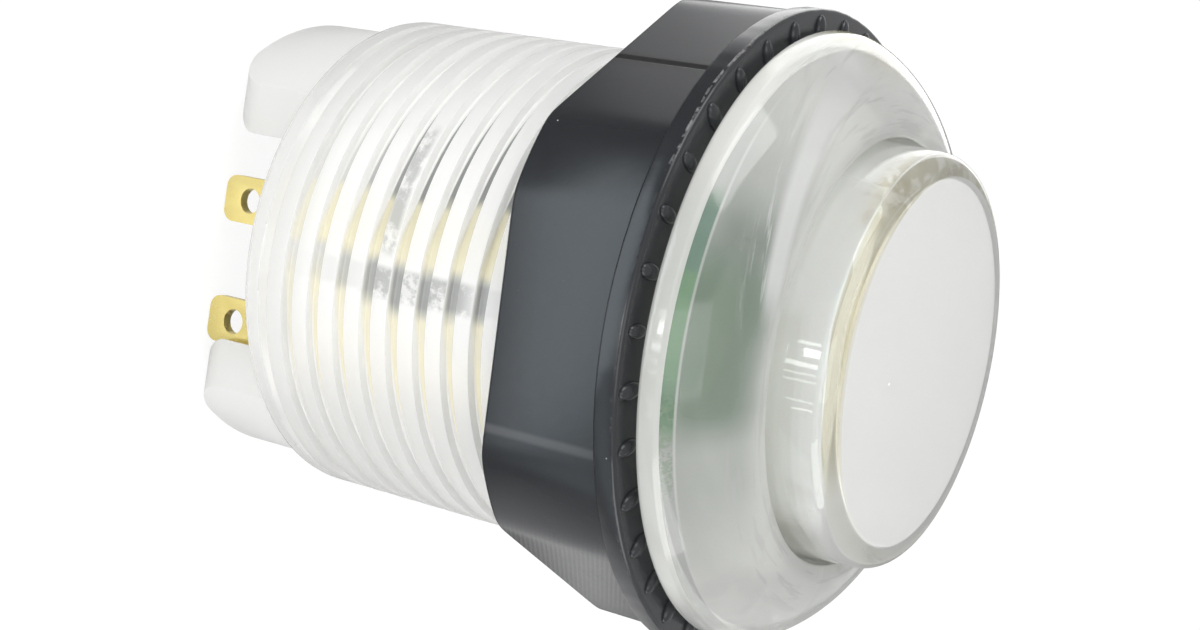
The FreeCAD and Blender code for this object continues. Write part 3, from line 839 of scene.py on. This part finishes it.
def clear_cap_finish():
    """Clear cap with painted light and shade: a painted cream band where its front corner bends round, for
    what shows through it, painted highlight lines, a side painted darker than its top, and painted olive
    streaks at the upper end.
    """
    finish, inputs, coords = clear_plastic("clear polished cap", 0.04, 0.03, 0.000005, 0.74)
    x, y, z = separated(coords)
    turn = turn_of(x, y)
    ring = radius_of(calculate("ADD", x, -0.0003), y)
    above = calculate("ADD", z, scaled(turn, -6.0, 10.0, -0.00695, -0.00676))
    outside = ramp(ring, 0.00984, 0.00990)
    corner = product(ramp(above, 0.0, 0.00006), outside)
    # Painted highlight lines along the front corner and round the disc's edge on the -X side
    edge = product(around(ring, 0.00982, 0.00003, 0.00004), ramp(x, 0.0, -0.002))
    line = larger(around(above, -0.00003, 0.00002, 0.00005), product(edge, 0.7))
    # Painted shade on the side next to the opening and at the lower end, and painted olive streaks at the
    # upper end
    shade_by_opening = product(ramp(above, -0.00140, -0.00160), ramp(turn, 16.0, 8.0))
    shaded_lower_end = product(ramp(turn, -46.0, -52.0), ramp(z, 0.0057, 0.0052))
    upper_end = product(ramp(turn, 32.0, 56.0), ramp(z, 0.0054, 0.0064), outside)
    # The cream that shows through the front corner, painted in, lighter on the flat and towards one side
    painted_cream = layered((0.66, 0.62, 0.46),
                    (ramp(turn, 0.0, 24.0), (0.74, 0.70, 0.53)),
                    (ramp(z, 0.00738, 0.00744), (0.88, 0.85, 0.74)),
                    (ramp(turn, -22.0, -40.0), (1.0, 0.99, 0.93)))
    streaks = noise(coords, 420.0, 3.0, distortion=2.0)
    painted_olive = blend(ramp(streaks, 0.42, 0.60), (0.56, 0.53, 0.40), (0.80, 0.78, 0.70))
    coloured(inputs, (0.85, 0.855, 0.845),
        (shade_by_opening, (0.765, 0.775, 0.745)),
        (shaded_lower_end, 0.6, (0.55, 0.55, 0.50)),
        (ramp(z, 0.0063, 0.0074), (0.96, 0.96, 0.955)),
        (corner, 0.95, painted_cream),
        (upper_end, painted_olive),
        (line, (1.0, 1.0, 0.99)))
    return finish


def black_nut_finish():
    """Glossy black moulding with specks, a parting line on its upper flat, a worn burr painted brighter on
    its upper side, a painted highlight line along one corner and painted reflections of slatted blinds below
    it.
    """
    finish, inputs, coords, skin = moulded("black moulded nut", 0.24, 0.1, 3200.0, 180.0, ripple=None)
    specks = use(SPECKS, {"Vector": coords, "Scale": 480.0, "Size": 0.030, "Share": 0.2})
    x, y, z = separated(coords)
    reach, turn = radius_of(x, y), turn_of(x, y)
    hexagon = ramp(z, -0.0015, -0.0018)

    # Parting line, and the shade beside it
    parting = math.radians(PARTING_TURN)
    off = calculate("ABSOLUTE", measured("DOT_PRODUCT", coords, (-math.sin(parting), math.cos(parting), 0)))
    line = product(ramp(off, 0.00030, 0.00016), hexagon)
    shade = product(ramp(off, 0.0011, 0.0002), hexagon)

    # Worn burr on the flange's edge, painted brighter on the upper side where it catches the light
    sway = calculate("MULTIPLY_ADD", noise(coords, 380.0, 2.0), 0.0006, 0.00038)
    near_edge = ramp(calculate("ABSOLUTE", calculate("ADD", z, sway)), 0.00010, 0.00003)
    chipped = ramp(noise(coords, 1300.0, 4.0, 0.7), 0.44, 0.58)
    burr_light_catch = larger(around(turn, 50.0, 16.0, 10.0), 0.06)
    burr = product(ramp(reach, 0.01722, 0.01738), near_edge, chipped, burr_light_catch)

    # Painted highlight line along a rounded corner, and fine stripes on the flat below it, a painted
    # reflection of slatted blinds with a faint bump
    corner = product(hexagon, around(turn, CORNER_HIGHLIGHT_TURN, 0.25, 0.9), 0.36)
    waves = product(measured("DOT_PRODUCT", coords, PICTURE_RIGHT), 2 * math.pi / (NUT_STRIPE_STEP * MM))
    painted_blind_stripes = product(ramp(calculate("SINE", waves), -0.6, 0.9), hexagon, around(turn, -60.0, 14.0, 10.0))

    coloured(inputs, blend(skin["Cloud"], (0.015, 0.0165, 0.019), (0.024, 0.026, 0.030)),
        (specks["Mask"], (0.6, 0.6, 0.6)),
        (burr, 0.7, (0.30, 0.30, 0.30)),
        (shade, 0.5, (0.006, 0.006, 0.007)),
        (line, (0.002, 0.002, 0.002)),
        (corner, (0.15, 0.15, 0.155)),
        (painted_blind_stripes, (0.055, 0.056, 0.058)))
    coarse = larger(product(burr, 0.4), product(line, 0.6))
    join(calculate("ADD", coarse, skin["Roughness"]), inputs["Roughness"])
    cut = calculate("SUBTRACT", skin["Height"], line)
    bumped(inputs, calculate("ADD", cut, product(painted_blind_stripes, 0.25)), 0.000008)
    return finish


def white_disc_finish():
    """Opal white disc with a painted highlight round its edge."""
    finish, inputs, coords, skin = moulded("opal white disc", 0.5, 0.1, 2600.0, 90.0, ripple=0.000004)
    reach = radius_of(*separated(coords)[:2])
    coloured(inputs, blend(skin["Cloud"], (0.80, 0.80, 0.79), (0.84, 0.84, 0.835)),
        (ramp(reach, 0.00955, 0.00960), (0.98, 0.98, 0.97)))
    return finish


def milky_plunger_finish():
    """Milky plastic that takes light in a little."""
    finish, inputs, _, skin = moulded("natural milky plunger", 0.38, 0.12, 2200.0, 140.0, ripple=0.000008)
    coloured(inputs, blend(skin["Cloud"], (0.62, 0.62, 0.60), (0.68, 0.68, 0.655)))
    inputs["Subsurface Weight"].default_value = 0.25
    inputs["Subsurface Scale"].default_value = 0.0015
    return finish


def frosted_carrier_finish():
    """Frosted plastic that light passes through in part."""
    finish, inputs, _, skin = moulded("frosted carrier", 0.48, 0.12, 3600.0, 150.0, ripple=0.000012,
                                      clearness=0.3, ior=1.46)
    coloured(inputs, blend(skin["Cloud"], (0.97, 0.97, 0.955), (0.99, 0.99, 0.98)))
    return finish


def metal_finish(name, low, high, roughness, line_depth):
    """Bare metal with drawing lines and faint tarnish."""
    finish, shader, coords = new_finish(name)[:3]
    inputs = shader.inputs
    metal = use(DRAWN_METAL, {"Vector": coords, "Line scale": 4200.0, "Tarnish scale": 420.0})
    coloured(inputs, blend(metal["Tarnish"], low, high))
    join(scaled(metal["Tarnish"], 0.3, 0.7, roughness * 0.8, roughness * 1.35), inputs["Roughness"])
    inputs["Metallic"].default_value = 1.0
    bumped(inputs, metal["Lines"], line_depth)
    return finish


def plain_moulding(name, low, high, roughness):
    """Small opaque moulding whose colour and gloss vary a little."""
    finish, inputs, _, skin = moulded(name, roughness, 0.1, 3400.0, 400.0, ripple=0.000008)
    coloured(inputs, blend(skin["Cloud"], low, high))
    return finish


def green_board_finish():
    """Green lacquer with paler tracks under it and tinned pads round the terminal slots."""
    finish, inputs, coords, skin = moulded("green lacquered board", 0.28, 0.1, 2600.0, 300.0, ripple=None)
    bands = add(coords.id_data, "TexWave", {"Vector": coords, "Scale": 170.0, "Distortion": 1.5,
                                            "Detail": 1.0, "Detail Scale": 60.0},
                wave_type="RINGS", rings_direction="Z")
    track = calculate("GREATER_THAN", bands.outputs["Fac"], 0.72)
    pads = larger(*[
        calculate("LESS_THAN", measured("DISTANCE", coords, (x * MM, y * MM, BOARD_TOP * MM)),
                  PAD_RADIUS * MM) for x, y in LAMP_TERMINALS])
    coloured(inputs, blend(skin["Cloud"], (0.045, 0.25, 0.10), (0.06, 0.32, 0.13)),
        (track, (0.09, 0.40, 0.17)),
        (pads, (0.62, 0.62, 0.6)))
    join(pads, inputs["Metallic"])
    bumped(inputs, calculate("ADD", skin["Height"], track), 0.00002)
    return finish


def lamp_finish(side, word):
    """White lamp package with a round window of yellow phosphor in its top."""
    finish, inputs, coords, skin = moulded("lamp package " + word, 0.35, 0.1, ripple=None)
    away = measured("DISTANCE", coords, (side * LAMP_OFFSET * MM, 0, LAMP_TOP * MM))
    window = calculate("LESS_THAN", away, LAMP_WINDOW * MM)
    coloured(inputs, blend(skin["Cloud"], (0.78, 0.78, 0.76), (0.85, 0.85, 0.84)),
        (window, (0.85, 0.68, 0.22)))
    bumped(inputs, window, 0.00002)
    return finish


def resistor_finish(word):
    """Black chip with bright tinned ends."""
    finish, inputs, coords, skin = moulded("chip resistor " + word, 0.4, 0.15)
    ends = calculate("GREATER_THAN", calculate("ABSOLUTE", separated(coords)[1]), CHIP_BODY_HALF * MM)
    coloured(inputs, blend(skin["Cloud"], (0.02, 0.02, 0.02), (0.05, 0.05, 0.05)),
        (ends, (0.7, 0.7, 0.68)))
    join(ends, inputs["Metallic"])
    return finish


# Pieces


def peg_ring(finish):
    """Small rounded pegs around the nut's front face, placed by Geometry Nodes."""
    tree = bpy.data.node_groups.new("nut pegs", "GeometryNodeTree")
    sizes = (("Count", "Int", PEG_COUNT), ("Ring radius", "Float", PEG_RING * MM),
             ("Height", "Float", NUT_FRONT * MM), ("Start angle", "Float", math.radians(PEG_START)),
             ("Peg length", "Float", PEG_LENGTH * MM), ("Peg width", "Float", PEG_WIDTH * MM),
             ("Peg rise", "Float", PEG_RISE * MM), ("Seed", "Int", 7))
    tree.interface.new_socket("Geometry", in_out="OUTPUT", socket_type="NodeSocketGeometry")
    values = {}
    for label, kind, value in sizes:
        socket = tree.interface.new_socket(label, in_out="INPUT", socket_type="NodeSocket" + kind)
        socket.default_value = value
        values[socket.identifier] = value
    given = tree.nodes.new("NodeGroupInput").outputs
    result = tree.nodes.new("NodeGroupOutput").inputs

    def node(kind, inputs=None, output=0, **settings):
        return put(tree, kind, inputs, **settings).outputs[output]

    circle = node("GeometryNodeMeshCircle", {"Vertices": given["Count"], "Radius": given["Ring radius"]})
    lift = node("ShaderNodeCombineXYZ", {"Z": given["Height"]})
    spin = node("ShaderNodeCombineXYZ", {"Z": given["Start angle"]})
    places = node("GeometryNodeTransform", {"Geometry": circle, "Translation": lift, "Rotation": spin})
    ball = node("GeometryNodeMeshUVSphere", {"Segments": 16, "Rings": 10, "Radius": 0.5})
    size = combined(given["Peg length"], given["Peg width"], given["Peg rise"])
    peg = node("GeometryNodeTransform", {"Geometry": ball, "Scale": size})
    here = node("GeometryNodeInputPosition")
    facing = node("FunctionNodeAlignRotationToVector", {"Vector": here}, axis="X", pivot_axis="Z")
    worn = node("FunctionNodeRandomValue", {2: 0.86, 3: 1.04, "Seed": given["Seed"]}, output=1,
                data_type="FLOAT")
    pegs = node("GeometryNodeInstanceOnPoints", {"Points": places, "Instance": peg, "Rotation": facing,
                                                 "Scale": worn})
    real = node("GeometryNodeRealizeInstances", {"Geometry": pegs})
    smooth = node("GeometryNodeSetShadeSmooth", {"Geometry": real})
    join(node("GeometryNodeSetMaterial", {"Geometry": smooth, "Material": finish}), result[0])

    made = shown("nut_pegs", bpy.data.meshes.new("nut_pegs"))
    pattern = made.modifiers.new("pegs", "NODES")
    pattern.node_group = tree
    for identifier, value in values.items():
        pattern[identifier] = value
    settled(made)
    return made


def dress_body():
    """Clear body, with further finishes on the bezel's rim and on the bared thread."""
    body = placed(housing_piece(), "housing", "clear_body", clear_body_finish(), "housing")
    for finish in (frosted_crest_finish(), groove_finish(), milky_rim_finish()):
        body.data.materials.append(finish)
    crest, groove, rim = 1, 2, 3
    for face in body.data.polygons:
        corners = [body.data.vertices[index].co for index in face.vertices]
        reach = [math.hypot(*corner[:2]) for corner in corners]
        near, far = min(reach), max(reach)
        high = max(corner.z for corner in corners)
        turn = math.degrees(math.atan2(face.center.y, -face.center.x))
        if near > RIM_INSIDE * MM and 0.1 * MM < high < (dome_place(1, turn)[1] + 0.06) * MM:
            face.material_index = rim
        elif near > (ROOT - 0.05) * MM and far < (CREST + 0.01) * MM and high < (NUT_BACK + 2) * MM:
            face.material_index = crest if near > (CREST - 0.03) * MM else groove


def dress_button():
    """Make every piece, give it its finish and let it ride on its body."""
    nut_finish = black_nut_finish()
    brass = metal_finish("bright rolled brass", (0.93, 0.75, 0.25), (1.0, 0.88, 0.38), 0.26, 0.000002)
    steel = metal_finish("drawn spring wire", (0.52, 0.52, 0.52), (0.68, 0.68, 0.67), 0.24, 0.000002)
    silver = metal_finish("silver rivet", (0.72, 0.72, 0.70), (0.82, 0.82, 0.80), 0.22, 0.000001)
    switch = plain_moulding("black switch body", (0.03, 0.03, 0.032), (0.055, 0.055, 0.058), 0.4)
    pin = plain_moulding("red switch pin", (0.5, 0.05, 0.04), (0.62, 0.08, 0.06), 0.35)

    def dress_solid(node, name, width, body, slot, finish, blade_corner=0.0):
        placed(softened(node, name, width, blade_corner), body, slot, finish, node)

    dress_body()
    placed(nut_piece(), "lock_nut", "black_nut", nut_finish, "lock_nut")
    placed(peg_ring(nut_finish), "lock_nut", "black_nut", nut_finish)
    placed(cap_piece(), "plunger", "clear_cap", clear_cap_finish(), "cap")
    placed(disc_piece(), "plunger", "white_disc", white_disc_finish(), "diffuser")
    dress_solid("plunger", "milky_plunger", 0.12, "plunger", "milky_plunger", milky_plunger_finish())
    dress_solid("rear_carrier", "frosted_carrier", 0.14, "housing", "frosted_carrier",
                frosted_carrier_finish())
    dress_solid("circuit_board", "green_circuit_board", 0.05, "housing", "green_board", green_board_finish())
    for side, word in ((-1, "left"), (1, "right")):
        dress_solid("led_" + word, "lamp_" + word, 0.1, "housing", "lamp_package", lamp_finish(side, word))
        dress_solid("resistor_" + word, "chip_" + word, 0.05, "housing", "resistor_body",
                    resistor_finish(word))
    for node in ("led_terminal_positive", "led_terminal_negative", "switch_terminal_common",
                 "switch_terminal_contact"):
        dress_solid(node, node + "_strip", 0.07, "housing", "brass", brass, BLADE_CORNER)
    dress_solid("switch_case", "switch_base", 0.1, "housing", "switch_body", switch)
    dress_solid("switch_cover", "switch_lid", 0.1, "housing", "switch_body", switch)
    dress_solid("switch_actuator", "switch_pin", 0.06, "switch_actuator", "switch_pin", pin)
    dress_solid("contact_leaf", "moving_leaf", 0.03, "contact_leaf", "brass", brass)
    dress_solid("moving_contact", "moving_rivet", 0.08, "contact_leaf", "contact_silver", silver)
    dress_solid("fixed_contact", "fixed_rivet", 0.08, "housing", "contact_silver", silver)
    coil = placed(coil_piece(), "housing", "spring_steel", steel, "return_spring")
    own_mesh(coil)


# Studio


def floor_finish():
    """Pale floor that looks white to the camera and to clear plastic, and keeps a faint shadow. Glossy rays
    see it glow in patches, bluish towards -X: painted reflections for the nut and the terminal blades.
    """
    finish, shader, coords, output = new_finish("pale studio floor")
    tree = finish.node_tree
    shader.inputs["Base Color"].default_value = (0.9, 0.9, 0.9, 1)
    shader.inputs["Roughness"].default_value = 0.9
    path = add(tree, "LightPath").outputs
    glossy = path["Is Glossy Ray"]
    # Painted reflections: patches of the floor's glow that only glossy rays see
    x, y = separated(coords)[:2]
    blades = measured("DISTANCE", coords, (-0.015, 0.0, FLOOR * MM))
    above, below = ramp(y, 0.034, 0.042), ramp(y, -0.034, -0.042)
    patches = (product(above, ramp(x, 0.003, 0.011), 0.65),
               product(above, ramp(x, 0.015, 0.030), 2.0),
               product(around(y, 0.0160, 0.0335, 0.0030), around(x, -0.070, 0.024, 0.008), 3.3),
               product(ramp(y, -0.020, -0.028), around(x, -0.064, 0.016, 0.012)),
               product(below, around(x, 0.004, 0.008, 0.034), 1.1),
               product(below, ramp(x, 0.016, 0.034), 0.25),
               ramp(blades, 0.02, 0.0))
    painted_reflection_level = 0.06
    for patch in patches:
        painted_reflection_level = calculate("ADD", patch, painted_reflection_level)
    level = add(tree, "Mix", {0: glossy, 2: 1.06, 3: painted_reflection_level}, data_type="FLOAT").outputs[0]
    hue = blend(product(glossy, ramp(x, -0.035, -0.050)), (1.0, 1.0, 1.0), (0.80, 0.93, 1.0))
    glow = add(tree, "Emission", {"Color": hue, "Strength": level})
    seen = larger(path["Is Camera Ray"], glossy)
    seen = larger(seen, path["Is Transmission Ray"])
    either = add(tree, "MixShader", {0: product(seen, 0.85), 1: shader.outputs[0], 2: glow.outputs[0]})
    join(either.outputs[0], output.inputs["Surface"])
    return finish


def soft_light(name, place, aim, size, power):
    """Rectangular softbox at a place, turned towards its aim."""
    lamp = bpy.data.lights.new(name, "AREA")
    lamp.shape = "RECTANGLE"
    lamp.size, lamp.size_y = size
    lamp.energy = power
    made = shown(name, lamp)
    made.location = place
    made.rotation_mode = "QUATERNION"
    made.rotation_quaternion = (Vector(aim) - Vector(place)).to_track_quat("-Z", "Y")
    return made


def photo_camera():
    """Camera at the photograph's place, angle and lens."""
    lens = bpy.data.cameras.new("photo_camera")
    lens.lens = CAMERA_LENS
    lens.sensor_width = 36.0
    lens.clip_start = 0.001
    camera = shown("photo_camera", lens)
    right = Vector(PICTURE_RIGHT).normalized()
    back = Vector(PICTURE_BACK).normalized()
    up = back.cross(right).normalized()
    right = up.cross(back)
    camera.rotation_mode = "QUATERNION"
    camera.rotation_quaternion = Matrix((right, up, back)).transposed().to_quaternion()
    camera.location = CAMERA_PLACE
    bpy.context.scene.camera = camera


def studio():
    """Floor, soft light and the camera at the photograph's angle."""
    far = FLOOR_REACH
    floor = piece("studio_floor", ([(-far, -far, FLOOR), (far, -far, FLOOR), (far, far, FLOOR),
                                    (-far, far, FLOOR)], [(0, 1, 2, 3)]))
    floor.data.materials.append(floor_finish())
    if floor.data.polygons[0].normal.z < 0:
        floor.data.flip_normals()
    world = bpy.data.worlds.new("soft studio")
    world.use_nodes = True
    bpy.context.scene.world = world
    sky = world.node_tree.nodes["Background"].inputs
    sky["Color"].default_value = (1, 1, 1, 1)
    sky["Strength"].default_value = SKY_STRENGTH
    soft_light("upper_softbox", (-0.12, 0.32, 0.16), (0, 0, -0.01), (0.24, 0.2), 0.55)
    soft_light("front_softbox", (-0.30, -0.05, 0.25), (0, 0, 0), (0.2, 0.3), 0.3)
    soft_light("lower_softbox", (-0.14, -0.30, 0.04), (0, 0, -0.01), (0.24, 0.2), 0.42)
    for index, (turn, down, size, power) in enumerate(WINDOW_SLATS):
        turn, down = math.radians(turn), math.radians(down)
        place = on_circle(SLAT_DISTANCE * math.cos(down), turn, CAP_MIDDLE + SLAT_DISTANCE * math.sin(down))
        slat = soft_light("window_slat_%d" % index, place, (0, 0, CAP_MIDDLE), size, power)
        slat.visible_camera = False
        slat.visible_transmission = False
        slat.visible_diffuse = False
    photo_camera()
    bpy.context.scene.view_settings.view_transform = "Standard"


dress_button()
studio()
